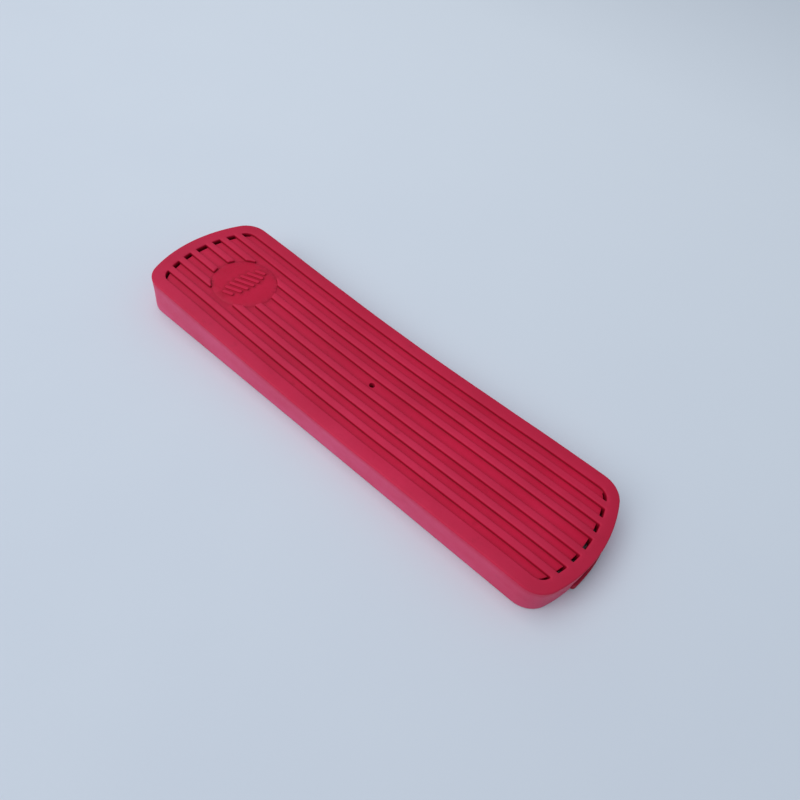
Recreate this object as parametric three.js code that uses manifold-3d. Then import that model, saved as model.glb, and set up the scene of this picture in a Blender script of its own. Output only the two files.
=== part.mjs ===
// Organ-type accelerator pedal pad: a red rubber tread moulded over a steel core plate, with a short
// rubber heel strap riveted to the plate. Millimetres, +Z up.
//
// The pad lies flat on z = 0. Its toe end, with the round badge, points to -X and its heel end to +X.
// The top face is a shallow saddle along the length, high at the toe and lowest at the waist.

import * as THREE from 'three';
import { mergeVertices } from 'three/addons/utils/BufferGeometryUtils.js';
import Module from 'manifold-3d';

const wasm = await Module();
wasm.setup();

// ---- driving dimensions -------------------------------------------------------------------------

const padLength = 180; // along the centre line, without the strap
const padWidth = 50;
const endRadius = 52; // both ends bulge on this arc
const cornerRadius = 8.8;

// Thickness of the pad at five equal stations from toe to heel.
const stationHeights = [13.1, 11.0, 9.65, 10.4, 10.8];

const sideRim = 4.8; // width of the plain rim along the sides
const endRim = 4.3; // and around the ends
const wellShift = 0.25; // the well inside the rim lies this much nearer the heel
const grooveDepth = 1.2;
const ribWidth = 2.5;
const grooveWidth = 3.45; // every groove but the middle one, which takes what is left
const ribsPerSide = 3;

const slotWidth = 1.05; // narrow slots where the grooves meet the end rims
const pinHoleRadius = 1.0; // locating pin hole in the middle groove
const pinHoleX = 1.5;

const badgeRadius = 11.8;
const badgeX = -61.4;
const badgeRise = 0.4; // the badge's round disc stands this far above the groove floors
const motifHalfLength = 9.6; // oval of slanted bars, long across the pad
const motifHalfWidth = 3.6;
const motifHeight = 0.45; // above the disc
const motifBarWidth = 1.35;
const motifPitch = 2.7;
const motifBars = 7;
const motifSlant = THREE.MathUtils.degToRad(24);

const plateThickness = 1.5;
const plateCover = 4.0; // from the top of the ribs down to the plate
const plateInset = 2.8; // from the pad's outline to the plate's
const gap = 0.3; // between any two pieces

const undersideHoleRadius = 2.5; // where the mould's pins carried the plate
const undersideHoleX = [-66, -22, 22];
const undersideHoleY = 11;

const strapWidth = 19;
const strapThickness = 2.8;
const strapLift = 0.2; // the strap's face lies this far above the pad's underside
const strapReach = 0.8; // how far the strap shows past the heel
const strapInnerX = 62;

const rivetX = 72;
const rivetY = 5;
const rivetHeadRadius = 3.2;
const rivetHeadThickness = 1.1;
const rivetShankRadius = 1.9;

// ---- derived dimensions -------------------------------------------------------------------------

const halfLength = padLength / 2;
const halfWidth = padWidth / 2;
const innerHalfLength = halfLength - endRim;
const innerHalfWidth = halfWidth - sideRim;
const ribPitch = ribWidth + grooveWidth;
const tall = 40; // more than any height here
const curveSteps = 24; // straight pieces in the curve of the top face

// ---- solids -------------------------------------------------------------------------------------

function solid(geometry) {
  geometry.deleteAttribute('normal');
  geometry.deleteAttribute('uv');
  const merged = mergeVertices(geometry);
  return new wasm.Manifold(new wasm.Mesh({
    numProp: 3,
    vertProperties: new Float32Array(merged.attributes.position.array),
    triVerts: new Uint32Array(merged.index.array),
  }));
}

function prism(shape, low, high, curveSegments = 6) {
  const options = { depth: high - low, bevelEnabled: false, curveSegments };
  return solid(new THREE.ExtrudeGeometry(shape, options).translate(0, 0, low));
}

function box(x0, x1, y0, y1, z0, z1) {
  const geometry = new THREE.BoxGeometry(x1 - x0, y1 - y0, z1 - z0);
  return solid(geometry.translate((x0 + x1) / 2, (y0 + y1) / 2, (z0 + z1) / 2));
}

function post(x, y, radius, low, high, sides = 24) {
  const geometry = new THREE.CylinderGeometry(radius, radius, high - low, sides);
  return solid(geometry.rotateX(Math.PI / 2).translate(x, y, (low + high) / 2));
}

// A part outline: straight sides, both ends on an arc, and fillets between them.
function padShape(halfL, halfW, radius, fillet) {
  const arcX = halfL - radius;
  const filletY = halfW - fillet;
  const filletX = arcX + Math.sqrt((radius - fillet) ** 2 - filletY ** 2);
  const turn = Math.atan2(filletY, filletX - arcX);
  const shape = new THREE.Shape();
  shape.absarc(arcX, 0, radius, -turn, turn);
  shape.absarc(filletX, filletY, fillet, turn, Math.PI / 2);
  shape.absarc(-filletX, filletY, fillet, Math.PI / 2, Math.PI - turn);
  shape.absarc(-arcX, 0, radius, Math.PI - turn, Math.PI + turn);
  shape.absarc(-filletX, -filletY, fillet, Math.PI + turn, 1.5 * Math.PI);
  shape.absarc(filletX, -filletY, fillet, 1.5 * Math.PI, 2 * Math.PI - turn);
  return shape;
}

// The same outline drawn in by a distance all round.
function insetShape(inset) {
  return padShape(halfLength - inset, halfWidth - inset, endRadius - inset, cornerRadius - inset);
}

// Height of the top face: the smooth curve through the station heights.
function topHeight(x) {
  const last = stationHeights.length - 1;
  const t = ((x + halfLength) / padLength) * last;
  return stationHeights.reduce((sum, height, i) => {
    let weight = 1;
    for (let j = 0; j <= last; j += 1) {
      if (j !== i) weight *= (t - j) / (i - j);
    }
    return sum + height * weight;
  }, 0);
}

// Everything between two heights, each given as a function of x, right across the pad.
function layer(low, high) {
  const reach = halfLength + 2;
  const shape = new THREE.Shape();
  for (let i = 0; i <= curveSteps; i += 1) {
    const x = -reach + (2 * reach * i) / curveSteps;
    if (i === 0) shape.moveTo(x, high(x));
    else shape.lineTo(x, high(x));
  }
  for (let i = curveSteps; i >= 0; i -= 1) {
    const x = -reach + (2 * reach * i) / curveSteps;
    shape.lineTo(x, low(x));
  }
  const geometry = new THREE.ExtrudeGeometry(shape, { depth: padWidth + 10, bevelEnabled: false });
  return solid(geometry.rotateX(Math.PI / 2).translate(0, padWidth / 2 + 5, 0));
}

const ground = () => 0;
const sky = () => tall;
const floorHeight = (x) => topHeight(x) - grooveDepth;
const badgeHeight = (x) => floorHeight(x) + badgeRise;
const plateTop = (x) => topHeight(x) - plateCover;
const plateBottom = (x) => plateTop(x) - plateThickness;

function union(solids) {
  return solids.reduce((all, next) => all.add(next));
}

// ---- sub-parts ----------------------------------------------------------------------------------

// The full-length ribs, three on each side of the middle groove.
function ribs() {
  const bars = [];
  for (const side of [-1, 1]) {
    for (let i = 0; i < ribsPerSide; i += 1) {
      const outer = innerHalfWidth - grooveWidth - i * ribPitch;
      const edges = [side * outer, side * (outer - ribWidth)].sort((a, b) => a - b);
      bars.push(box(-halfLength, halfLength, edges[0], edges[1], 0, tall));
    }
  }
  return union(bars);
}

// A plain oval hatch of slanted bars, raised from the badge's disc.
function badgeMotif() {
  const bars = [];
  for (let i = 0; i < motifBars; i += 1) {
    const y = (i - (motifBars - 1) / 2) * motifPitch;
    const geometry = new THREE.BoxGeometry(4 * motifHalfWidth, motifBarWidth, tall);
    bars.push(solid(geometry.rotateZ(motifSlant).translate(badgeX, y, tall / 2)));
  }
  const oval = new THREE.Shape();
  oval.absellipse(badgeX, 0, motifHalfWidth, motifHalfLength, 0, 2 * Math.PI);
  const raised = layer((x) => floorHeight(x) - 1, (x) => badgeHeight(x) + motifHeight);
  return union(bars).intersect(prism(oval, 0, tall, 16)).intersect(raised);
}

function undersideHoles() {
  const holes = [];
  for (const x of undersideHoleX) {
    for (const side of [-1, 1]) {
      holes.push(post(x, side * undersideHoleY, undersideHoleRadius, -1, plateBottom(x)));
    }
  }
  return union(holes);
}

// The strap's outline: square inner corners, and an outer edge that follows the heel.
function strapShape(clearance) {
  const radius = endRadius + strapReach + clearance;
  const half = strapWidth / 2 + clearance;
  const arcX = halfLength - endRadius;
  const turn = Math.asin(half / radius);
  const shape = new THREE.Shape();
  shape.absarc(arcX, 0, radius, -turn, turn);
  shape.lineTo(strapInnerX - clearance, half);
  shape.lineTo(strapInnerX - clearance, -half);
  return shape;
}

function rivetPosts(radius, low, high) {
  return union([-1, 1].map((side) => post(rivetX, side * rivetY, radius, low, high)));
}

// The space inside the rim, between the apexes of its two end arcs.
function wellPrism(halfL, low, high) {
  const shape = padShape(halfL, innerHalfWidth, endRadius - endRim, cornerRadius - endRim);
  return prism(shape, low, high).translate(wellShift, 0, 0);
}

function rubberTread() {
  const allRibs = ribs();
  const badge = post(badgeX, 0, badgeRadius, -1, tall, 64);
  const well = wellPrism(innerHalfLength, 0, tall);
  const grooves = well.intersect(layer(floorHeight, sky)).subtract(allRibs.subtract(badge));
  const badgeDisc = badge.intersect(layer((x) => floorHeight(x) - 1, badgeHeight));
  const slots = well.subtract(wellPrism(innerHalfLength - slotWidth, -1, tall + 1))
    .intersect(layer(plateTop, sky)).subtract(allRibs);
  const pinHole = post(pinHoleX, 0, pinHoleRadius, plateTop(pinHoleX), tall, 16);
  const plateRoom = prism(insetShape(plateInset - gap), 0, tall)
    .intersect(layer((x) => plateBottom(x) - gap, (x) => plateTop(x) + gap));
  const strapRoom = prism(strapShape(gap), -1, strapLift + strapThickness + gap);
  const rivetRoom = rivetPosts(rivetShankRadius + gap, 0, plateTop(rivetX));

  return prism(insetShape(0), 0, tall).intersect(layer(ground, topHeight))
    .subtract(grooves)
    .add(badgeDisc)
    .add(badgeMotif())
    .subtract(slots)
    .subtract(pinHole)
    .subtract(plateRoom)
    .subtract(undersideHoles())
    .subtract(strapRoom)
    .subtract(rivetRoom);
}

function corePlate() {
  return prism(insetShape(plateInset), 0, tall)
    .intersect(layer(plateBottom, plateTop))
    .subtract(rivetPosts(rivetShankRadius + gap, 0, tall));
}

function heelStrap() {
  const headRoom = strapLift + rivetHeadThickness + gap;
  return prism(strapShape(0), strapLift, strapLift + strapThickness)
    .subtract(rivetPosts(rivetHeadRadius + gap, -1, headRoom))
    .subtract(rivetPosts(rivetShankRadius + gap, -1, tall));
}

// A flat-headed rivet, its head let into the strap and its shank peened flush with the plate.
function strapRivet() {
  const low = strapLift;
  const shoulder = low + rivetHeadThickness;
  const high = plateTop(rivetX) - 0.1;
  const profile = [
    [0, low], [rivetHeadRadius - 0.25, low], [rivetHeadRadius, low + 0.25],
    [rivetHeadRadius, shoulder], [rivetShankRadius, shoulder],
    [rivetShankRadius, high], [0, high],
  ].map(([r, z]) => new THREE.Vector2(r, z));
  return solid(new THREE.LatheGeometry(profile, 24).rotateX(Math.PI / 2));
}

// ---- materials ----------------------------------------------------------------------------------

const redRubber = new THREE.MeshStandardMaterial({ color: 0xb02a48, roughness: 0.72, metalness: 0 });
const darkRubber = new THREE.MeshStandardMaterial({ color: 0x8a1c36, roughness: 0.8, metalness: 0 });
const plateSteel = new THREE.MeshStandardMaterial({ color: 0x6c7078, roughness: 0.45, metalness: 0.9 });
const rivetSteel = new THREE.MeshStandardMaterial({ color: 0x9a9da3, roughness: 0.35, metalness: 0.95 });

// ---- assembly -----------------------------------------------------------------------------------

function piece(name, body, material) {
  const { vertProperties, triVerts } = body.getMesh();
  const geometry = new THREE.BufferGeometry();
  geometry.setAttribute('position', new THREE.BufferAttribute(new Float32Array(vertProperties), 3));
  geometry.setIndex(new THREE.BufferAttribute(new Uint32Array(triVerts), 1));
  const mesh = new THREE.Mesh(geometry, material);
  mesh.name = name;
  return mesh;
}

const pedalPad = new THREE.Group();
pedalPad.add(piece('rubber_tread', rubberTread(), redRubber));
pedalPad.add(piece('core_plate', corePlate(), plateSteel));
pedalPad.add(piece('heel_strap', heelStrap(), darkRubber));
for (const side of [-1, 1]) {
  const rivet = piece(side < 0 ? 'strap_rivet_left' : 'strap_rivet_right', strapRivet(), rivetSteel);
  rivet.position.set(rivetX, side * rivetY, 0);
  pedalPad.add(rivet);
}

// The origin is the middle of the whole footprint, strap included.
pedalPad.position.x = -strapReach / 2;

export default pedalPad;
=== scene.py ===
import math

import bmesh
import bpy
import numpy as np
from mathutils import Matrix, Vector, noise
from mathutils.geometry import delaunay_2d_cdt


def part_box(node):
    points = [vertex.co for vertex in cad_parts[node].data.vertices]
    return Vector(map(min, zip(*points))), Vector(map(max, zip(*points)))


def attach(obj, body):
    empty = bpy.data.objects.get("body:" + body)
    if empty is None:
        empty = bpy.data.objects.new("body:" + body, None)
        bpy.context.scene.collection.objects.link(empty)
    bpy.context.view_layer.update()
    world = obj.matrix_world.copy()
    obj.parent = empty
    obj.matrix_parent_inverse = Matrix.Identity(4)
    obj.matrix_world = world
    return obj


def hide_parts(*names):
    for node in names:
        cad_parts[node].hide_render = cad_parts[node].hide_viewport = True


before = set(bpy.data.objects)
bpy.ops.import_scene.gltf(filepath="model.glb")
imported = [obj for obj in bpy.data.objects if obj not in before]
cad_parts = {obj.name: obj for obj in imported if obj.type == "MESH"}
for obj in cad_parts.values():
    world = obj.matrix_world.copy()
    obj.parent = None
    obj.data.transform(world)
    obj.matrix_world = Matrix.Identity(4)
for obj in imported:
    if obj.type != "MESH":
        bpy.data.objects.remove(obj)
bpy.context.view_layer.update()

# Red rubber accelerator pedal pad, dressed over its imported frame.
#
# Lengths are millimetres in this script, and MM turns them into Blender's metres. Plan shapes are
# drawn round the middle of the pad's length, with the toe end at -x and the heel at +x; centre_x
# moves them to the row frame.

MM = 0.001

# ---- sizes --------------------------------------------------------------------------------------

tread_low, tread_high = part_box("rubber_tread")
centre_x = (tread_low.x + tread_high.x) / 2 / MM
half_length = (tread_high.x - tread_low.x) / 2 / MM
half_width = (tread_high.y - tread_low.y) / 2 / MM

end_radius = 52.0
corner_radius = 8.8
end_rim = 4.3
side_rim = 4.8
groove_depth = 1.2
rib_width = 2.5
groove_width = 3.45
rib_pitch = rib_width + groove_width
slot_width = 1.05
well_shift = 0.25           # the well inside the rim lies this much nearer the heel
pin_hole_x = 1.5
pin_hole_radius = 1.0

badge_x = -61.4
badge_radius = 11.8
badge_rise = 0.4            # the badge's disc stands this far above the groove floors
badge_edge = 0.7            # plan width of the disc's sloping rim
motif_half_length = 9.6
motif_half_width = 3.6
motif_rise = 0.45           # above the disc
motif_bar_width = 1.35
motif_pitch = 2.7
motif_bars = 7
motif_slant = math.radians(24)

plate_cover = 4.0
plate_thickness = 1.5
plate_inset = 2.8
gap = 0.3
hole_radius = 2.5
hole_xs = (-66, -22, 22)
hole_y = 11
hole_mouth = 0.4            # widening at the underside

strap_width = 19.0
strap_reach = 0.8
strap_inner_x = 62.0
strap_lift = 0.2
strap_thickness = 2.8
strap_corner = 1.2
strap_round = 0.4
rivet_x = 72.0
rivet_y = 5.0
rivet_head_radius = 3.2
rivet_head_thickness = 1.1
rivet_shank_radius = 1.9

inner_radius = end_radius - end_rim
inner_fillet = corner_radius - end_rim
inner_half_width = half_width - side_rim
groove_edges = [(inner_half_width - groove_width - i * rib_pitch) for i in range(3)]

edge_round = 0.22           # rounding along the top edges of ribs, rim and grooves
floor_round = 0.2           # and where the groove walls meet the floors
shoulder_width = 1.15       # the top face sinks a little along the grooves, from this far away
shoulder_drop = 0.26
shoulder_slope = math.atan(2 * shoulder_drop / shoulder_width)
wall_draft = 0.06           # how far a groove wall leans out, foot to top
groove_corner = 0.35        # plan rounding of the corners at the groove ends
rib_corner = 0.35           # and of the corners where ribs end at the badge
rim_round = 0.5             # rounding of the pad's outer top edge
foot_round = 0.6            # and of its lower edge
wall_hollow = 0.12          # the outer wall shrinks in this far between its edges
outline_inset = 0.08        # keeps the softened outer wall inside the frame's box
slot_lip = 0.08             # plan width of the slot's steep inner wall
slot_lean = 0.03            # how far a slot's outer wall leans in, head to foot
slot_end = math.radians(62)         # where the outer grooves' slots end, round their fillets
slot_end_limit = math.radians(62.4)

mesh_step = 1.8             # longest step along a straight edge
face_spacing = 1.7          # of the grid inside the larger faces
face_margin = 0.6           # and its distance from their edges
soften_amount = 0.09        # how far the softening moves points at most
soften_size = 17.0          # and how wide its waves are
soften_seed = 5             # so that it is the same on every run

# How dark the rubber is made in places, by dirt and painted shade, and how pale, by bloom and
# painted light, from 0 to 1, and how far that reaches.
corner_shade = 0.27          # painted shade on the floors beside the walls, which are painted full dark
corner_reach = 0.6
disc_edge_shade = 0.5        # painted shade on the floor round the badge's disc
disc_edge_reach = 0.5
disc_dirt = 0.15
bar_side_shade = 0.55             # painted shade on the sides of the badge's bars
end_shade = 0.15             # painted shade on the top at the two ends, and as much again towards the heel
# painted shade along the far side of the top
far_rim_shade = 0.22
toe_slot_shade = 0.5         # painted shade: the toe slots are this much blacker than the other slots
top_bloom = 0.11           # pale bloom all over the top, with painted light: more on the near side than on the far one
near_side_light = 0.04
edge_highlight = 0.12           # painted highlight along the edges of ribs and rim
edge_highlight_reach = 0.4
floor_paling = 0.04          # paler on the floors at mid-length, with more at the toe than at the heel

# Where each darker part of the top, which is painted shade, starts, along x or y, and over what
# width it grows to full.
end_part = (78, 8)
heel_part = (35, 40)
far_part = (14, 5)


# ---- the top face, read from the frame ----------------------------------------------------------

def fit_top_curve():
    """Height of the top face along x: the quartic through the frame's side edges."""
    points = np.array([v.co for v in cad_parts["rubber_tread"].data.vertices]) / MM
    on_edge = (np.abs(points[:, 1]) > half_width - 0.01) & (points[:, 2] > 5)
    x, z = points[on_edge, 0] - centre_x, points[on_edge, 2]
    return np.polynomial.Polynomial.fit(x, z, 4)


top_curve = fit_top_curve()


# ---- outlines in plan ---------------------------------------------------------------------------
# A path is an array of rows x, y, nx, ny: points in order, and at each the unit direction that
# leads away from the hollow, or out of the solid, that the path bounds.

def straight(stops, y, side):
    """Along the line at y through the x stops, without the last point. The normal is (0, side)."""
    rows = []
    for a, b in zip(stops, stops[1:]):
        count = max(1, math.ceil(abs(b - a) / mesh_step))
        rows += [(a + (b - a) * i / count, y, 0, side) for i in range(count)]
    return np.array(rows)


def arc(cx, cy, radius, start, end, side=1, step=1.2, turn=math.radians(15)):
    """Round a centre, without the last point. side 1 has the normal away from the centre."""
    count = max(2, math.ceil(abs(end - start) / min(turn, step / radius)))
    angles = start + (end - start) * np.arange(count) / count
    c, s = np.cos(angles), np.sin(angles)
    return np.column_stack([cx + radius * c, cy + radius * s, side * c, side * s])


def mirror_x(path):
    return (path * [-1, 1, -1, 1])[::-1]


def mirror_y(path):
    return (path * [1, -1, 1, -1])[::-1]


def half_turn(path):
    return path * [-1, -1, -1, -1]


def tangent_circle(y, cx, cy, distance):
    """x of a circle's centre at height y, that far from (cx, cy) on its +x side."""
    return cx + math.sqrt(distance ** 2 - (y - cy) ** 2)


def pad_outline(inset=0.0):
    """The pad's outline, drawn in by a distance: straight sides, arcs at the ends, and fillets."""
    radius, fillet = end_radius - inset, corner_radius - inset
    arc_x = half_length - end_radius
    fillet_y = half_width - corner_radius
    fillet_x = tangent_circle(fillet_y, arc_x, 0, end_radius - corner_radius)
    turn = math.atan2(fillet_y, fillet_x - arc_x)
    side_y = half_width - inset
    quarter = math.pi / 2
    heel = [
        arc(fillet_x, -fillet_y, fillet, -quarter, -turn),
        arc(arc_x, 0, radius, -turn, turn),
        arc(fillet_x, fillet_y, fillet, turn, quarter),
        straight([fillet_x, 0], side_y, 1),
    ]
    heel = np.vstack(heel)
    toe = half_turn(heel)
    return np.vstack([heel, straight([0, -fillet_x], side_y, 1), toe,
                      straight([0, fillet_x], -side_y, -1)])


def slot_edge(y):
    """x of the inner edge of the heel slots at y."""
    arc_x = half_length - end_radius
    fillet_y = inner_half_width - inner_fillet
    fillet_x = tangent_circle(fillet_y, arc_x, 0, inner_radius - inner_fillet)
    turn_y = inner_radius * fillet_y / (inner_radius - inner_fillet)
    if abs(y) <= turn_y:
        return tangent_circle(y, arc_x, 0, inner_radius) - slot_width
    return tangent_circle(abs(y), fillet_x, fillet_y, inner_fillet) - slot_width


def rib_run(start_x, end_x, y, side):
    """One rib edge from start_x out to the groove's heel end, stopping at both rims of the slot."""
    edge = slot_edge(y)
    return straight([start_x, edge, edge + slot_lip, end_x], y, side)


def groove_end(low, high, start_x):
    """The heel end of a groove, from start_x on its lower edge round to start_x on its upper."""
    arc_x = half_length - end_radius
    r = groove_corner
    corner_low = tangent_circle(low + r, arc_x, 0, inner_radius - r)
    corner_high = tangent_circle(high - r, arc_x, 0, inner_radius - r)
    angle_low = math.atan2(low + r, corner_low - arc_x)
    angle_high = math.atan2(high - r, corner_high - arc_x)
    edge = slot_edge(high)
    return [
        rib_run(start_x[0], corner_low, low, -1),
        arc(corner_low, low + r, r, -math.pi / 2, angle_low),
        arc(arc_x, 0, inner_radius, angle_low, angle_high, step=0.7),
        arc(corner_high, high - r, r, angle_high, math.pi / 2),
        straight([corner_high, edge + slot_lip, edge, start_x[1]], high, 1),
    ]


def rib_end(low, high, badge):
    """The end of a rib at the badge, from its lower edge round to its upper."""
    r = rib_corner
    x_low = tangent_circle(low + r, badge, 0, badge_radius + r)
    x_high = tangent_circle(high - r, badge, 0, badge_radius + r)
    to_low = math.atan2(low + r, x_low - badge)
    to_high = math.atan2(high - r, x_high - badge)
    half = math.pi
    return x_low, x_high, [
        arc(x_low, low + r, r, 1.5 * half, to_low + half, side=-1),
        arc(badge, 0, badge_radius, to_low, to_high, step=0.5),
        arc(x_high, high - r, r, to_high + half, half / 2, side=-1),
    ]


def main_pit_half(badge):
    """The five middle grooves and the badge, on the badge's heel side, up the page."""
    edges = sorted([s * e for s in (-1, 1) for e in groove_edges])
    edges = [e for y in edges for e in ([y - rib_width, y] if y > 0 else [y, y + rib_width])]
    inner = edges[1:-1]                      # from the lower outer rib's inner edge to the upper's
    grooves = list(zip(inner[0::2], inner[1::2]))
    ribs = list(zip(inner[1:-1:2], inner[2:-1:2]))
    ends = [rib_end(low, high, badge) for low, high in ribs]
    path = []
    for i, (low, high) in enumerate(grooves):
        start_low = ends[i - 1][1] if i > 0 else badge
        start_high = ends[i][0] if i < len(ends) else badge
        path += groove_end(low, high, (start_low, start_high))
        if i < len(ends):
            path += ends[i][2]
    return np.vstack(path)


def main_pit():
    badge = badge_x - well_shift
    return moved(np.vstack([main_pit_half(badge), half_turn(main_pit_half(-badge))]))


def moved(path):
    """A path of the well, moved to where the well is."""
    return path + [well_shift, 0, 0, 0]


def outer_groove():
    """The groove beside the upper rim."""
    low = groove_edges[0]
    r = groove_corner
    fillet_y = inner_half_width - inner_fillet
    arc_x = half_length - end_radius
    fillet_x = tangent_circle(fillet_y, arc_x, 0, inner_radius - inner_fillet)
    corner_x = tangent_circle(low + r, fillet_x, fillet_y, inner_fillet - r)
    angle = math.atan2(low + r - fillet_y, corner_x - fillet_x)
    lip_turn = slot_lip / inner_fillet
    heel = np.vstack([
        rib_run(0, corner_x, low, -1),
        arc(corner_x, low + r, r, -math.pi / 2, angle),
        arc(fillet_x, fillet_y, inner_fillet, angle, slot_end, step=0.5),
        arc(fillet_x, fillet_y, inner_fillet, slot_end, slot_end + lip_turn)[:1],
        arc(fillet_x, fillet_y, inner_fillet, slot_end + lip_turn, math.pi / 2, step=0.5),
        straight([fillet_x, 0], inner_half_width, 1),
    ])
    return moved(np.vstack([heel, mirror_x(heel)[:-1]]))


def well_paths():
    """The main pit and the two outer grooves."""
    return [main_pit(), outer_groove(), mirror_y(outer_groove())]


def circle(x, y, radius, step=0.3):
    return arc(x, y, radius, 0, 2 * math.pi, step=step)


def motif_bar(index):
    """A bar of the badge's hatch: a slanted strip with round ends, inside the oval."""
    r = motif_bar_width / 2
    along = np.array([math.cos(motif_slant), math.sin(motif_slant)])
    middle = np.array([badge_x, (index - (motif_bars - 1) / 2) * motif_pitch])
    offset = middle - [badge_x, 0]
    scale = np.array([motif_half_width - r, motif_half_length - r])
    a = ((along / scale) ** 2).sum()
    b = (along * offset / scale ** 2).sum()
    c = ((offset / scale) ** 2).sum() - 1
    root = math.sqrt(max(b * b - a * c, 0.0))
    first, last = [middle + along * (-b + s * root) / a for s in (-1, 1)]
    tip = motif_slant + math.pi / 2
    return np.vstack([
        arc(*last, r, tip - math.pi, tip, step=0.3),
        arc(*first, r, tip, tip + math.pi, step=0.3),
    ])


# ---- building skins -----------------------------------------------------------------------------

class Skin:
    """Points and faces of one piece, in millimetres."""

    def __init__(self):
        self.points = []
        self.faces = []

    def add(self, xy, z):
        """Adds points and gives their numbers."""
        first = len(self.points)
        self.points += [(p[0], p[1], h) for p, h in zip(xy, z)]
        return list(range(first, len(self.points)))

    def ring(self, path, offset, height):
        """A ring along a path, moved along its normals. Both may differ from point to point."""
        xy = path[:, :2] + path[:, 2:] * np.reshape(offset, (-1, 1))
        return self.add(xy, height)

    def bridge(self, a, b):
        """Faces between two closed rings with as many points each."""
        count = len(a)
        for i in range(count):
            j = (i + 1) % count
            self.faces.append((a[i], a[j], b[j], b[i]))

    def sweep(self, path, offsets, heights):
        """Rings one after the other, with faces between them. Gives the first and the last."""
        rings = [self.ring(path, o, np.broadcast_to(h, len(path)))
                 for o, h in zip(offsets, heights)]
        for a, b in zip(rings, rings[1:]):
            self.bridge(a, b)
        return rings[0], rings[-1]

    def fill(self, rings, height, creases=(), spacing=None, margin=0.8):
        """Triangles in the area inside an odd number of the rings. Each crease is a list of point
        numbers, joined in order. height(x, y) is for the points of the inner grid, as arrays."""
        loops = [np.array([self.points[i][:2] for i in ring]) for ring in rings]
        numbers = [i for ring in rings for i in ring]
        edges, first = [], 0
        for ring in rings:
            n = len(ring)
            edges += [(first + i, first + (i + 1) % n) for i in range(n)]
            first += n
        for crease in creases:
            numbers += crease
            edges += [(first + i, first + i + 1) for i in range(len(crease) - 1)]
            first += len(crease)
        if spacing:
            marks = [np.array([self.points[i][:2] for i in crease]) for crease in creases]
            grid = self.grid(loops, marks, spacing, margin)
            numbers += self.add(grid, height(*grid.T))
        plan = [Vector(self.points[i][:2]) for i in numbers]
        verts, _, tris, origin, _, _ = delaunay_2d_cdt(plan, edges, [], 0, 1e-5)
        known = [numbers[o[0]] if o else None for o in origin]
        for i, v in enumerate(verts):
            if known[i] is None:
                known[i] = self.add([v], height(*np.array([v]).T))[0]
        middles = np.array([[sum(verts[i][k] for i in t) / 3 for k in (0, 1)] for t in tris])
        inside = parity(middles, loops)
        self.faces += [tuple(known[i] for i in t) for t, ok in zip(tris, inside) if ok]

    def grid(self, loops, marks, spacing, margin):
        """Points of a staggered grid inside the loops, no nearer to them or to the marks than the
        margin."""
        low, high = loops[0].min(0), loops[0].max(0)
        rows = []
        for k, y in enumerate(np.arange(low[1] + spacing / 2, high[1], spacing * 0.87)):
            xs = np.arange(low[0] + spacing * (0.5 if k % 2 else 1.0), high[0], spacing)
            rows += [(x, y) for x in xs]
        points = np.array(rows)
        points = points[parity(points, loops)]
        for line in loops + marks:
            points = points[distance(points, line) > margin]
        return points

    def mesh(self, name, shift_x=0.0):
        data = bpy.data.meshes.new(name)
        points = (np.array(self.points) + [shift_x, 0, 0]) * MM
        data.from_pydata(points.tolist(), [], self.faces)
        bm = bmesh.new()
        bm.from_mesh(data)
        bmesh.ops.delete(bm, geom=[v for v in bm.verts if not v.link_faces], context="VERTS")
        bmesh.ops.recalc_face_normals(bm, faces=bm.faces)
        bm.to_mesh(data)
        bm.free()
        return data


def runs(ring, keep):
    """The stretches of a closed ring whose points are kept."""
    stretches = []
    for start in range(len(ring)):
        if keep[start] and not keep[start - 1]:
            run = []
            while keep[(start + len(run)) % len(ring)]:
                run.append(ring[(start + len(run)) % len(ring)])
            stretches.append(np.array(run))
    return stretches


def distance(points, loop):
    """Least distance of each point from a closed loop."""
    along = np.roll(loop, -1, axis=0) - loop
    length = np.maximum((along ** 2).sum(1), 1e-12)
    least = []
    for start in range(0, len(points), 500):
        span = points[start:start + 500, None] - loop
        share = np.clip((span * along).sum(2) / length, 0, 1)
        least.append(np.hypot(*np.moveaxis(span - share[..., None] * along, 2, 0)).min(1))
    return np.concatenate(least)


def nearest(points, loops):
    """Least distance of each point from any of the loops."""
    return np.min([distance(points, loop) for loop in loops], axis=0)


def parity(points, loops):
    """True where a point is inside an odd number of the loops."""
    odd = np.zeros(len(points), bool)
    for loop in loops:
        a, b = loop, np.roll(loop, -1, axis=0)
        for start in range(0, len(points), 2000):
            part = slice(start, start + 2000)
            x, y = points[part, 0][:, None], points[part, 1][:, None]
            crosses = (a[:, 1] > y) != (b[:, 1] > y)
            rise = np.where(b[:, 1] == a[:, 1], 1.0, b[:, 1] - a[:, 1])
            at = a[:, 0] + (y - a[:, 1]) / rise * (b[:, 0] - a[:, 0])
            odd[part] ^= (crosses & (x < at)).sum(1) % 2 == 1
    return odd


def shown(data, name, material, slot, *nodes):
    """Puts a mesh into the scene as a piece that stands for CAD nodes."""
    piece = bpy.data.objects.new(name, data)
    bpy.context.scene.collection.objects.link(piece)
    data.materials.append(material)
    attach(piece, "root")
    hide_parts(*nodes)
    return piece


def smooth_shade(piece, angle):
    """Smooth shading with creases kept sharp, and flat faces kept flat beside small roundings."""
    piece.data.shade_smooth()
    piece.data.set_sharp_from_angle(angle=math.radians(angle))
    weighted = piece.modifiers.new("flat_faces_stay_flat", "WEIGHTED_NORMAL")
    weighted.keep_sharp = True


# ---- the rubber tread ---------------------------------------------------------------------------

floor_level = -groove_depth
slot_level = -(plate_cover - gap / 2)
badge_level = floor_level + badge_rise


def top(x, y=0.0, level=0.0):
    return top_curve(x) + level


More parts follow.
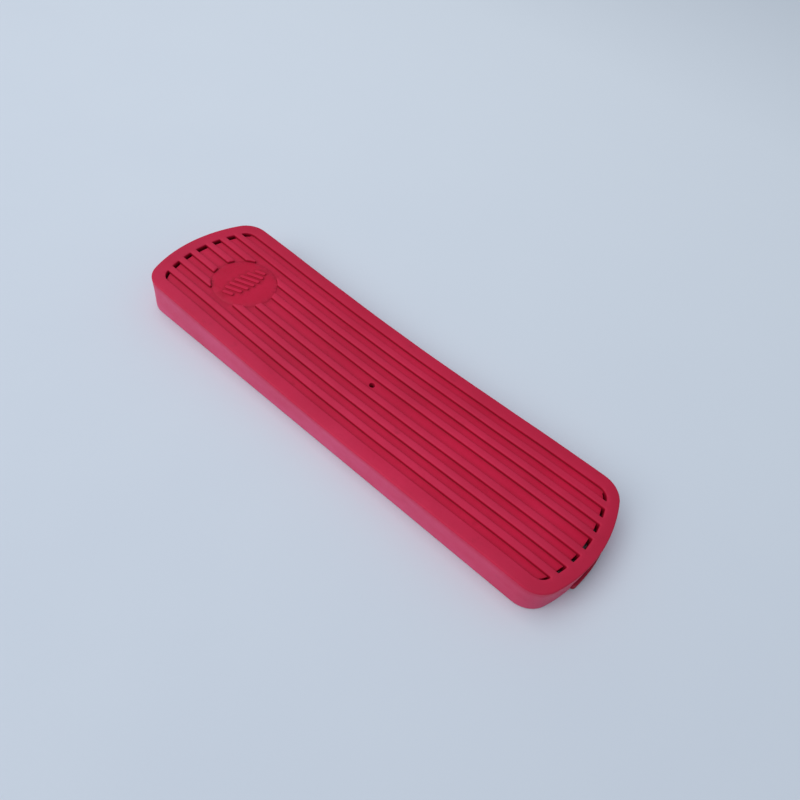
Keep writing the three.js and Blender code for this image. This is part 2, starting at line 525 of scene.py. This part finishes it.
def rounding(radius, steps=4, slope=0.0):
    """Offsets and drops down a rounded edge, from the face it starts on, of that slope, to the
    wall."""
    angles = np.linspace(slope, math.pi / 2, steps + 1)
    return radius * (1 - np.sin(angles)), -radius * (1 - np.cos(angles))


def level_ring(skin, path, offset, level):
    """A ring at a level measured from the top face."""
    offset = np.broadcast_to(offset, len(path))
    level = np.broadcast_to(level, len(path))
    return skin.ring(path, offset, top_curve(path[:, 0] + path[:, 2] * offset) + level)


def floor_at(x, y):
    """Level of the floors inside the rim: the grooves, and the badge's disc."""
    inside = badge_radius - np.hypot(x - badge_x, y)
    share = np.clip(inside / badge_edge, 0, 1)
    return floor_level + badge_rise * share ** 2 * (3 - 2 * share)


def shoulder(away):
    """Level of the top face at a distance from the nearest groove or pit."""
    return -shoulder_drop * np.clip(1 - away / shoulder_width, 0, 1) ** 2


def add_pit(skin, path):
    """The walls of a groove or of the main pit. Gives its top ring, its floor ring and, for each
    point along it, whether it lies in a slot."""
    x, y = path[:, 0] - well_shift, path[:, 1]
    edge = np.array([slot_edge(v) for v in np.clip(np.abs(y), 0, inner_half_width - 1e-6)])
    past = np.abs(x) > edge + slot_lip / 2
    tapered = np.abs(y) > inner_half_width - inner_fillet * (1 - math.sin(slot_end_limit))
    in_slot = past & ~tapered

    floor_offset = -wall_draft - floor_round
    floor = floor_at(path[:, 0] + floor_offset * path[:, 2], y + floor_offset * path[:, 3])
    wall_foot = floor + floor_round
    drop, fall = rounding(edge_round, slope=shoulder_slope)
    head = shoulder(drop[0]) - fall[0]
    rings = [level_ring(skin, path, o, head + z) for o, z in zip(drop, fall)]
    wall_head = head - edge_round
    rings.append(level_ring(skin, path, -wall_draft / 2, (wall_foot + wall_head) / 2))
    for turn in np.linspace(0, math.pi / 2, 4):
        share = turn / (math.pi / 2)
        offset = -wall_draft - floor_round * (1 - math.cos(turn))
        level = wall_foot - floor_round * math.sin(turn)
        deep = wall_foot + (slot_level - wall_foot) * share
        leaning = -wall_draft - slot_lean * share
        rings.append(level_ring(skin, path, np.where(in_slot, leaning, offset),
                                np.where(in_slot, deep, level)))
    for a, b in zip(rings, rings[1:]):
        skin.bridge(a, b)
    return rings[0], rings[-1], in_slot


def badge_creases(skin, floor_ring):
    """Rings down the rim of the badge's disc, where they cross the floor."""
    loop = np.array([skin.points[i][:2] for i in floor_ring])
    shares = np.array([-0.2, 0.0, 0.25, 0.5, 0.75, 1.0])
    creases = []
    for inset in badge_edge * shares:
        ring = circle(badge_x, 0, badge_radius - inset, step=0.35)[:, :2]
        keep = parity(ring, [loop]) & (distance(ring, loop) > 0.1)
        creases += [skin.add(run, top(*run.T, floor_at(*run.T))) for run in runs(ring, keep)]
    return creases


def shoulder_creases(skin, path, loops):
    """Lines along a pit, part way up the shoulder of the top face."""
    away, slack = 0.6, 0.03
    ring = path[:, :2] + path[:, 2:] * away
    keep = nearest(ring, loops) > away - slack
    return [skin.add(run, top(*run.T, shoulder(away))) for run in runs(ring, keep)]


def slot_creases(skin, path, floor_ring, in_slot):
    """The lip and the foot of the inner wall of every slot along a floor ring, and a line on the
    floor just before the lip."""
    lip_drop, back_step, spacing = 0.07, 0.14, 0.4
    creases = []
    count = len(path)
    starts = [i for i in range(count) if in_slot[i] and not in_slot[i - 1]]
    for start in starts:
        end = start
        while in_slot[(end + 1) % count]:
            end += 1
        places = (start - 1, start, end, end + 1)
        before, first, last, after = [floor_ring[i % count] for i in places]
        side = math.copysign(1, skin.points[first][0])
        y0, y1 = skin.points[before][1], skin.points[after][1]
        ys = np.linspace(y0, y1, max(4, round(abs(y1 - y0) / spacing)))[1:-1]
        lip = [(side * slot_edge(y) + well_shift, y) for y in ys]
        foot = [(x + side * slot_lip, y) for x, y in lip]
        back = [(x - side * back_step, y) for x, y in lip]
        lip_points = skin.add(lip, [top_curve(x) + floor_level - lip_drop for x, y in lip])
        foot_points = skin.add(foot, [top_curve(x) + slot_level for x, y in foot])
        back_points = skin.add(back, [top_curve(x) + floor_level for x, y in back])
        creases += [[before] + lip_points + [after], [first] + foot_points + [last], back_points]
    return creases


def add_outer_wall(skin, path):
    """The pad's side, from the rounded top edge to the rounded foot. Gives top and foot ring."""
    drop, fall = rounding(rim_round, 5)
    rings = [level_ring(skin, path, -o, z) for o, z in zip(drop, fall)]
    wall_top = top_curve(path[:, 0]) - rim_round
    for share in np.linspace(0, 1, 6)[1:-1]:
        hollow = wall_hollow * math.sin(math.pi * share)
        rings.append(skin.ring(path, -hollow, wall_top + (foot_round - wall_top) * share))
    for turn in np.linspace(0, math.pi / 2, 5):
        rings.append(skin.ring(path, np.full(len(path), -foot_round * (1 - math.cos(turn))),
                               np.full(len(path), foot_round * (1 - math.sin(turn)))))
    for a, b in zip(rings, rings[1:]):
        skin.bridge(a, b)
    return rings[0], rings[-1]


def add_raised(skin, path, low, high, radius=0.18):
    """A raised shape on a floor, with a small fillet at its foot. Closes its top, and gives its
    foot ring."""
    drop, fall = rounding(radius, 3)
    steps = [(0.14, low), (0.05, low + 0.06)]
    steps += [(-o, high + z) for o, z in list(zip(drop, fall))[::-1]]
    rings = [level_ring(skin, path, o, z) for o, z in steps]
    for a, b in zip(rings, rings[1:]):
        skin.bridge(a, b)
    skin.fill([rings[-1]], lambda x, y: top(x, y, high))
    return rings[0]


def add_pin_hole(skin):
    """The small hole in the middle groove, blind over the core plate. Gives its mouth ring."""
    path = circle(pin_hole_x, 0, pin_hole_radius)
    steps = [(0.2, floor_level), (0.08, floor_level - 0.04), (0.0, floor_level - 0.2),
             (0.0, slot_level)]
    rings = [level_ring(skin, path, o, z) for o, z in steps]
    for a, b in zip(rings, rings[1:]):
        skin.bridge(a, b)
    skin.fill([rings[-1]], lambda x, y: top(x, y, slot_level))
    return rings[0]


def tread_skin():
    """The whole outside of the tread, before anything is cut from below."""
    skin = Skin()
    rim, foot = add_outer_wall(skin, pad_outline(outline_inset))

    top_rings = [rim]
    paths = well_paths()
    pit = paths[0]
    pit_top, pit_floor, in_slot = add_pit(skin, pit)
    top_rings.append(pit_top)
    creases = slot_creases(skin, pit, pit_floor, in_slot) + badge_creases(skin, pit_floor)
    bars = [add_raised(skin, motif_bar(i), badge_level, badge_level + motif_rise)
            for i in range(motif_bars)]
    hole = add_pin_hole(skin)
    skin.fill([pit_floor, hole] + bars, lambda x, y: top(x, y, floor_at(x, y)), creases,
              face_spacing, face_margin)

    for path in paths[1:]:
        groove_top, groove_floor, in_slot = add_pit(skin, path)
        top_rings.append(groove_top)
        creases = slot_creases(skin, path, groove_floor, in_slot)
        skin.fill([groove_floor], lambda x, y: top(x, y, floor_level), creases,
                  face_spacing, face_margin)

    loops = [path[:, :2] for path in paths]
    creases = [crease for path in paths for crease in shoulder_creases(skin, path, loops)]

    def face(x, y):
        return top(x, y, shoulder(nearest(np.column_stack([x, y]), loops)))

    skin.fill(top_rings, face, creases, face_spacing, face_margin)
    skin.fill([foot], lambda x, y: 0 * x, spacing=4.0, margin=2.0)
    return skin


def closed_prism(path, low, high, name):
    """A cutter: a closed body between two heights, each a function of x."""
    skin = Skin()
    base = skin.add(path[:, :2], [low(x) for x in path[:, 0]])
    roof = skin.add(path[:, :2], [high(x) for x in path[:, 0]])
    skin.bridge(base, roof)
    skin.fill([base], lambda x, y: low(x))
    skin.fill([roof], lambda x, y: high(x))
    return skin.mesh(name, centre_x)


def bore(x, y, radius, depth, mouth, name):
    """A cutter for a hole from below, with its mouth widened a little."""
    skin = Skin()
    path = circle(x, y, radius, step=0.5)
    steps = [(mouth, -0.5), (mouth, 0.0), (mouth * 0.3, mouth * 0.35), (0.0, mouth), (0.0, depth)]
    first, last = skin.sweep(path, [s[0] for s in steps], [s[1] for s in steps])
    skin.fill([first], lambda x, y: 0 * x - 0.5)
    skin.fill([last], lambda x, y: 0 * x + depth)
    return skin.mesh(name, centre_x)


def strap_path(clearance=0.0):
    """The strap's outline: an outer edge that follows the heel, and round inner corners."""
    radius = end_radius + strap_reach + clearance
    half = strap_width / 2 + clearance
    arc_x = half_length - end_radius
    r = strap_corner
    inner_x = strap_inner_x - clearance
    corner_x = tangent_circle(half - r, arc_x, 0, radius - r)
    turn = math.atan2(half - r, corner_x - arc_x)
    quarter = math.pi / 2
    return np.vstack([
        arc(corner_x, r - half, r, -quarter, -turn),
        arc(arc_x, 0, radius, -turn, turn, step=0.8),
        arc(corner_x, half - r, r, turn, quarter),
        straight([corner_x, inner_x + r], half, 1),
        arc(inner_x + r, half - r, r, quarter, 2 * quarter),
        [(inner_x, half - r, -1, 0), (inner_x, 0, -1, 0)],
        arc(inner_x + r, r - half, r, 2 * quarter, 3 * quarter),
        straight([inner_x + r, corner_x], -half, -1),
    ])


def cut(piece, cutters):
    """Takes each cutter out of the piece and keeps the result as the piece's mesh."""
    helpers = []
    for i, data in enumerate(cutters):
        helper = bpy.data.objects.new(f"cutter_{i}", data)
        bpy.context.scene.collection.objects.link(helper)
        modifier = piece.modifiers.new(f"cut_{i}", "BOOLEAN")
        modifier.operation = "DIFFERENCE"
        modifier.solver = "MANIFOLD"
        modifier.object = helper
        helpers.append(helper)
    bpy.context.view_layer.update()
    seen = piece.evaluated_get(bpy.context.evaluated_depsgraph_get())
    result = bpy.data.meshes.new_from_object(seen)
    result.name = piece.data.name
    piece.modifiers.clear()
    piece.data = result
    for helper in helpers:
        bpy.data.objects.remove(helper)


def tread_cutters():
    """The room for the core plate, the strap's recess, and the holes from below."""
    plate_room = closed_prism(pad_outline(plate_inset - gap),
                              lambda x: top_curve(x) - plate_cover - plate_thickness - gap,
                              lambda x: top_curve(x) - plate_cover + gap, "plate_room")
    strap_room = closed_prism(strap_path(gap), lambda x: -1.0,
                              lambda x: strap_lift + strap_thickness + gap, "strap_room")
    holes = [bore(x, side * hole_y, hole_radius, top_curve(x) - plate_cover - plate_thickness,
                  hole_mouth, f"hole_{x}_{side}") for x in hole_xs for side in (-1, 1)]
    rivet_holes = [bore(rivet_x, side * rivet_y, rivet_shank_radius + gap,
                        top_curve(rivet_x) - plate_cover - plate_thickness, 0.0,
                        f"rivet_hole_{side}") for side in (-1, 1)]
    return [plate_room, strap_room] + holes + rivet_holes


def soften(data):
    """Moves the points a little, so that long edges and faces aren't dead straight. What rests on
    the ground stays flat."""
    noise.seed_set(soften_seed)
    for v in data.vertices:
        free = min(1.0, max(0.0, (v.co.z / MM - foot_round) / 2))
        v.co += noise.noise_vector(v.co / (soften_size * MM)) * soften_amount * MM * free


def rise(values, start, width):
    """0 up to the start, then evenly up to 1 over the width."""
    return np.clip((values - start) / width, 0, 1)


def dirt_and_shade_at(x, y, level, to_pit, inner):
    """How dark the rubber is made: painted shade on and beside the groove walls, round the disc, on
    the bars' sides, at the ends and along the far side of the top, and a little dirt on the disc. 1
    is full dark, and past 1 it goes on to black, the painted shade in the slots.
    """
    on_top = 1 - rise(-level, 0, 0.5)
    on_floor = inner & (level < badge_level - 0.1)
    on_disc = inner & (level > badge_level - 0.1) & (level < -0.5)

    foot = wall_draft + floor_round
    # Painted shade: the groove walls are painted full dark, the floors darker beside them, and
    # round the badge's disc.
    beside_wall = corner_shade * np.exp((foot - to_pit) / corner_reach)
    corners = np.where(to_pit < foot - 0.02, 1.0, beside_wall)
    to_disc = np.abs(np.hypot(x - badge_x, y) - badge_radius)
    round_disc = disc_edge_shade * on_floor * np.exp(-to_disc / disc_edge_reach)
    corners = np.maximum(corners, round_disc) * inner * rise(-level, 0.4, 0.45)

    # Painted shade on the sides of the badge's bars.
    to_bar = nearest(np.column_stack([x, y]), [motif_bar(i)[:, :2] for i in range(motif_bars)])
    bar_sides = inner & (to_bar < 0.2) & (level < badge_level + motif_rise - 0.1)
    # Painted shade on the top: darker at both ends, more towards the heel, and along the far side.
    ends = end_shade * rise(np.abs(x), *end_part) + end_shade * rise(x, *heel_part)
    far_rim = far_rim_shade * rise(y, *far_part)
    dirt_and_shade = np.max([corners, bar_side_shade * bar_sides, on_top * ends, on_top * far_rim,
                   disc_dirt * on_disc], axis=0)
    # Painted shade: the slots are painted full dark, and blacker still at the toe.
    in_slot = inner & (level < floor_level - 0.25)
    return np.where(in_slot, 1 + toe_slot_shade * (x < 0), dirt_and_shade)


def bloom_and_light_at(x, y, level, to_pit, to_side, inner):
    """How pale the rubber is made: most on the outer wall, as bloom and a painted reflection; on
    the top, with painted light on the near side and a painted highlight along the edges; a little
    on the floors.
    """
    on_top = 1 - rise(-level, 0, 0.5)
    on_floor = inner & (level < badge_level - 0.1)
    # The outer wall: a pale bloom and a painted reflection, made less towards the heel by painted
    # shade.
    wall = (1 - rise(to_side, 0, 0.8)) * rise(-level, 0, 1.5) * (1 - 0.3 * rise(x, *heel_part))
    # On the top: painted light, more on the near side, and a painted highlight along the edges.
    tone_with_painted_light = top_bloom - near_side_light * y / half_width
    tone_with_painted_light += edge_highlight * np.exp(-to_pit / edge_highlight_reach)
    floors = floor_paling * on_floor * np.clip(1 - x / 60, 0, 2)
    return np.max([wall, on_top * tone_with_painted_light, floors], axis=0)


def mark_surfaces(data):
    """Stores at each point of the mesh how dark the rubber is made, by dirt and painted shade, and
    how pale, by bloom and painted light.
    """
    points = np.array([v.co for v in data.vertices]) / MM - [centre_x, 0, 0]
    x, y, z = points.T
    level = z - top_curve(x)
    to_pit = nearest(points[:, :2], [path[:, :2] for path in well_paths()])
    to_side = distance(points[:, :2], pad_outline()[:, :2])
    inner = (to_side > 2) & (level > -plate_cover)
    dirt_and_shade = dirt_and_shade_at(x, y, level, to_pit, inner)
    bloom_and_light = bloom_and_light_at(x, y, level, to_pit, to_side, inner)
    for name, values in (("dirt_and_shade", dirt_and_shade), ("bloom_and_light", bloom_and_light)):
        data.attributes.new(name, "FLOAT", "POINT").data.foreach_set("value", values)


def make_tread(material):
    """The tread: its skin, cut from below, marked with dirt and painted shade, bloom and painted
    light, and softened.
    """
    piece = shown(tread_skin().mesh("red_tread", centre_x), "red_tread", material, "red_rubber",
                  "rubber_tread")
    cut(piece, tread_cutters())
    mark_surfaces(piece.data)
    soften(piece.data)
    smooth_shade(piece, 45)


# ---- strap, rivets and plate --------------------------------------------------------------------

def make_strap(material):
    """The strap, with its edges rounded and a stepped hole for each rivet."""
    skin = Skin()
    low, high = strap_lift, strap_lift + strap_thickness
    drop, fall = rounding(strap_round)
    offsets = list(-drop) + list(-drop[::-1])
    heights = list(high + fall) + list(low - fall[::-1])
    top_ring, low_ring = skin.sweep(strap_path(), offsets, heights)
    holes_top, holes_low = [], []
    seat = strap_lift + rivet_head_thickness + gap
    for side in (-1, 1):
        path = circle(rivet_x, side * rivet_y, rivet_shank_radius + gap, step=0.4)
        wide = rivet_head_radius - rivet_shank_radius
        offsets = [0.15, 0.0, 0.0, wide - 0.15, wide, wide, wide + 0.2]
        heights = [high, high - 0.15, seat, seat, seat - 0.15, low + 0.2, low]
        first, last = skin.sweep(path, offsets, heights)
        holes_top.append(first)
        holes_low.append(last)
    skin.fill([top_ring] + holes_top, lambda x, y: 0 * x + high, spacing=2.0, margin=0.8)
    skin.fill([low_ring] + holes_low, lambda x, y: 0 * x + low, spacing=2.0, margin=0.8)
    piece = shown(skin.mesh("rubber_heel_strap", centre_x), "rubber_heel_strap", material,
                  "dark_rubber", "heel_strap")
    smooth_shade(piece, 50)


def make_rivet(side, material):
    """A flat-headed rivet, turned from its profile, its rim rounded and its face a little domed."""
    name = "left" if side < 0 else "right"
    node = f"strap_rivet_{name}"
    low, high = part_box(node)
    middle = (low + high) / 2
    z0, z1 = low.z / MM, high.z / MM
    head, shank = rivet_head_radius, rivet_shank_radius
    seat = z0 + rivet_head_thickness
    profile = [(0.0, z0), (0.8, z0 + 0.01), (1.6, z0 + 0.04), (2.3, z0 + 0.09), (2.8, z0 + 0.18),
               (3.05, z0 + 0.32), (head, z0 + 0.55), (head, seat - 0.15),
               (head - 0.15, seat), (shank + 0.15, seat), (shank, seat + 0.15),
               (shank, z1 - 0.3), (shank - 0.1, z1 - 0.1), (shank - 0.35, z1), (0.0, z1)]
    sides = 48
    bm = bmesh.new()
    rings = []
    for radius, z in profile:
        if radius == 0:
            rings.append([bm.verts.new((0, 0, z * MM))])
            continue
        turns = [2 * math.pi * i / sides for i in range(sides)]
        rings.append([bm.verts.new((radius * MM * math.cos(t), radius * MM * math.sin(t), z * MM))
                      for t in turns])
    for a, b in zip(rings, rings[1:]):
        for i in range(sides):
            j = (i + 1) % sides
            corners = [a[i % len(a)], a[j % len(a)], b[j % len(b)], b[i % len(b)]]
            bm.faces.new(list(dict.fromkeys(corners)))
    bmesh.ops.recalc_face_normals(bm, faces=bm.faces)
    bmesh.ops.translate(bm, verts=bm.verts, vec=(middle.x, middle.y, 0))
    data = bpy.data.meshes.new(f"flat_rivet_{name}")
    bm.to_mesh(data)
    bm.free()
    piece = shown(data, f"flat_rivet_{name}", material, "rivet_steel", node)
    smooth_shade(piece, 60)


# ---- materials ----------------------------------------------------------------------------------

class Nodes:
    """Builds one material's node tree. Lengths in its textures are millimetres."""

    def __init__(self, name):
        self.material = bpy.data.materials.new(name)
        self.material.use_nodes = True
        self.tree = self.material.node_tree
        self.shader = self.tree.nodes["Principled BSDF"]
        coordinates = self.add("ShaderNodeTexCoord")
        self.place = coordinates.outputs["Object"]

    def add(self, kind, **values):
        node = self.tree.nodes.new(kind)
        for key, value in values.items():
            setattr(node, key, value)
        return node

    def link(self, output, target):
        self.tree.links.new(output, target)

    def set(self, **values):
        for key, value in values.items():
            self.shader.inputs[key.replace("_", " ")].default_value = value

    def noise(self, size, detail=2.0, rough=0.5, stretch=(1, 1, 1)):
        """Noise whose features are about size millimetres across."""
        mapping = self.add("ShaderNodeMapping")
        mapping.inputs["Scale"].default_value = [1 / (size * MM * s) for s in stretch]
        self.link(self.place, mapping.inputs["Vector"])
        node = self.add("ShaderNodeTexNoise")
        node.inputs["Scale"].default_value = 1.0
        node.inputs["Detail"].default_value = detail
        node.inputs["Roughness"].default_value = rough
        self.link(mapping.outputs["Vector"], node.inputs["Vector"])
        return node.outputs["Fac"]

    def stored(self, name):
        """A number that the mesh stores at each point."""
        return self.add("ShaderNodeAttribute", attribute_name=name).outputs["Fac"]

    def math(self, operation, a, b):
        """Of two values, each a number or an output."""
        node = self.add("ShaderNodeMath", operation=operation)
        for value, socket in zip((a, b), node.inputs):
            if isinstance(value, float):
                socket.default_value = value
            else:
                self.link(value, socket)
        return node.outputs["Value"]

    def ramp(self, value, low, high, to_low=0.0, to_high=1.0):
        node = self.add("ShaderNodeMapRange")
        for key, number in zip(("From Min", "From Max", "To Min", "To Max"),
                               (low, high, to_low, to_high)):
            node.inputs[key].default_value = number
        self.link(value, node.inputs["Value"])
        return node.outputs["Result"]

    def mix(self, amount, a, b):
        """Between two colours, each a colour or an output."""
        node = self.add("ShaderNodeMix", data_type="RGBA")
        sockets = [s for s in node.inputs if s.type == "RGBA"]
        for value, socket in ((a, sockets[0]), (b, sockets[1])):
            if isinstance(value, tuple):
                socket.default_value = (*value, 1)
            else:
                self.link(value, socket)
        self.link(amount, node.inputs["Factor"])
        return [s for s in node.outputs if s.type == "RGBA"][0]

    def bump(self, height, distance, strength=1.0, below=None):
        node = self.add("ShaderNodeBump")
        node.inputs["Strength"].default_value = strength
        node.inputs["Distance"].default_value = distance * MM
        self.link(height, node.inputs["Height"])
        if below is not None:
            self.link(below, node.inputs["Normal"])
        return node.outputs["Normal"]


def rubber(name, deep, plain, dirt_and_shade_colour, bloom_and_light_colour, roughness):
    """Matte moulded rubber: fine grain, soft mottling and small scuffs, with dirt and painted
    shade, black painted shade in the slots, and a pale bloom with painted light where the mesh
    says. The bloom is uneven."""
    slot_shade_black = (0.02, 0.004, 0.008)
    m = Nodes(name)
    blotches = m.noise(22.0, detail=3.0, rough=0.55)
    speckle = m.noise(1.6, detail=4.0, rough=0.6)
    patches = m.noise(7.0, detail=5.0, rough=0.62, stretch=(2.2, 1, 1))
    colour = m.mix(m.ramp(blotches, 0.32, 0.68), deep, plain)
    colour = m.mix(m.ramp(speckle, 0.45, 0.75, 0.0, 0.4), colour, deep)
    scuffs = m.noise(3.5, detail=6.0, rough=0.7, stretch=(1.6, 1, 1))
    colour = m.mix(m.ramp(scuffs, 0.6, 0.75, 0.0, 0.35), colour, dirt_and_shade_colour)
    # Paleness from the mesh: bloom, painted light and painted highlights, with random pale patches.
    stored_bloom_and_light = m.math("MULTIPLY", m.stored("bloom_and_light"), m.ramp(patches, 0.3, 0.7, 0.6, 0.95))
    bloom_and_light = m.math("MAXIMUM", stored_bloom_and_light, m.ramp(patches, 0.45, 0.8, 0.0, 0.06))
    colour = m.mix(bloom_and_light, colour, bloom_and_light_colour)
    # Darkening from the mesh: dirt and painted shade.
    dirt_and_shade = m.math("MULTIPLY", m.stored("dirt_and_shade"), m.ramp(patches, 0.3, 0.7, 0.75, 1.0))
    colour = m.mix(dirt_and_shade, colour, dirt_and_shade_colour)
    # Black painted shade in the slots.
    colour = m.mix(m.ramp(m.stored("dirt_and_shade"), 1.0, 2.0), colour, slot_shade_black)
    m.link(colour, m.shader.inputs["Base Color"])
    m.link(m.ramp(speckle, 0.3, 0.7, roughness - 0.05, roughness + 0.07),
           m.shader.inputs["Roughness"])
    grain = m.noise(0.35, detail=3.0, rough=0.6)
    waves = m.noise(3.2, detail=2.0)
    first = m.bump(waves, 0.05, 0.35)
    m.link(m.bump(grain, 0.018, 0.5, first), m.shader.inputs["Normal"])
    m.set(IOR=1.5, Specular_IOR_Level=0.15)
    return m.material


def steel(name, dark, light, roughness, size):
    """Dull steel: cloudy tone, fine rolled scratches, uneven gloss."""
    m = Nodes(name)
    clouds = m.noise(size, detail=4.0, rough=0.6)
    scratches = m.noise(0.5, detail=3.0, rough=0.6, stretch=(14, 1, 1))
    m.link(m.mix(m.ramp(clouds, 0.3, 0.7), dark, light), m.shader.inputs["Base Color"])
    m.link(m.ramp(clouds, 0.3, 0.7, roughness - 0.08, roughness + 0.1),
           m.shader.inputs["Roughness"])
    m.link(m.bump(scratches, 0.012, 0.4), m.shader.inputs["Normal"])
    m.set(Metallic=1.0)
    return m.material


def table_top():
    """The pale surface that the pad lies on, with painted shade: darker towards the near side,
    lighter on the far side.
    """
    near_edge, far_edge = -0.12, 0.33            # metres along y
    m = Nodes("pale_table")
    clouds = m.noise(60.0, detail=3.0)
    fibres = m.noise(1.2, detail=3.0, rough=0.6)
    along = m.add("ShaderNodeVectorMath", operation="DOT_PRODUCT")
    along.inputs[1].default_value = (0, 1, 0)
    m.link(m.place, along.inputs[0])
    # Painted shade: the table darker towards the near side.
    tone_with_painted_light = m.mix(m.ramp(clouds, 0.3, 0.7), (0.65, 0.695, 0.77), (0.665, 0.71, 0.78))
    lit_far_colour = (0.83, 0.875, 0.935)
    colour = m.mix(m.ramp(along.outputs["Value"], near_edge, far_edge), tone_with_painted_light, lit_far_colour)
    m.link(colour, m.shader.inputs["Base Color"])
    m.link(m.ramp(fibres, 0.3, 0.7, 0.55, 0.65), m.shader.inputs["Roughness"])
    m.link(m.bump(fibres, 0.02, 0.3), m.shader.inputs["Normal"])
    return m.material


# ---- stage --------------------------------------------------------------------------------------

def make_floor():
    size = 3.0
    data = bpy.data.meshes.new("floor")
    corners = [(x * size, y * size, 0) for x, y in ((-1, -1), (1, -1), (1, 1), (-1, 1))]
    data.from_pydata(corners, [], [(0, 1, 2, 3)])
    data.materials.append(table_top())
    floor = bpy.data.objects.new("floor", data)
    bpy.context.scene.collection.objects.link(floor)


def make_world(colour, strength):
    world = bpy.data.worlds.new("studio")
    world.use_nodes = True
    background = world.node_tree.nodes["Background"]
    background.inputs["Color"].default_value = (*colour, 1)
    background.inputs["Strength"].default_value = strength
    bpy.context.scene.world = world


def make_light(name, azimuth, elevation, distance, size, power, colour):
    """A square soft light that looks at the middle of the pad."""
    data = bpy.data.lights.new(name, "AREA")
    data.shape = "SQUARE"
    data.size = size
    data.energy = power
    data.color = colour
    light = bpy.data.objects.new(name, data)
    a, e = math.radians(azimuth), math.radians(elevation)
    away = Vector((math.cos(a) * math.cos(e), math.sin(a) * math.cos(e), math.sin(e)))
    light.location = away * distance
    light.rotation_euler = away.to_track_quat("Z", "Y").to_euler()
    bpy.context.scene.collection.objects.link(light)


def make_camera():
    """Stands off the heel's near side and looks down at the pad, a little rolled."""
    azimuth, elevation, roll = math.radians(-60.16), math.radians(50.32), math.radians(13.23)
    distance = 212.66 * MM
    aim = Vector((10.72 + centre_x, 4.49, 5.0)) * MM
    back = Vector((math.cos(azimuth) * math.cos(elevation),
                   math.sin(azimuth) * math.cos(elevation), math.sin(elevation)))
    right = Vector((0, 0, 1)).cross(back).normalized()
    up = back.cross(right)
    turned_right = right * math.cos(roll) + up * math.sin(roll)
    turned_up = back.cross(turned_right)
    data = bpy.data.cameras.new("camera")
    data.sensor_width = 36.0
    data.lens = 28.25
    data.clip_start = 0.01
    camera = bpy.data.objects.new("camera", data)
    basis = Matrix((turned_right, turned_up, back)).transposed().to_4x4()
    camera.matrix_world = Matrix.Translation(aim + back * distance) @ basis
    bpy.context.scene.collection.objects.link(camera)
    bpy.context.scene.camera = camera


# ---- assembly -----------------------------------------------------------------------------------

make_camera()
red = rubber("red_rubber", (0.54, 0.007, 0.042), (0.63, 0.010, 0.054), (0.23, 0.002, 0.011),
             (0.75, 0.122, 0.255), 0.5)
dark = rubber("dark_rubber", (0.34, 0.009, 0.032), (0.42, 0.012, 0.042), (0.16, 0.004, 0.014),
              (0.50, 0.05, 0.10), 0.6)
plate_steel = steel("plate_steel", (0.20, 0.21, 0.23), (0.34, 0.35, 0.37), 0.42, 9.0)
rivet_steel = steel("rivet_steel", (0.42, 0.42, 0.42), (0.62, 0.62, 0.60), 0.34, 1.5)

make_tread(red)
make_strap(dark)
for side in (-1, 1):
    make_rivet(side, rivet_steel)
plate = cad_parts["core_plate"]
plate.data.materials.clear()
plate.data.materials.append(plate_steel)

make_floor()
make_world((0.81, 0.895, 1.0), 0.48)
make_light("ceiling", 190, 68, 0.8, 0.6, 1.8, (0.95, 0.98, 1.0))
make_light("window", 245, 38, 1.6, 1.0, 8.8, (0.95, 0.98, 1.0))
bpy.context.scene.view_settings.view_transform = "Standard"
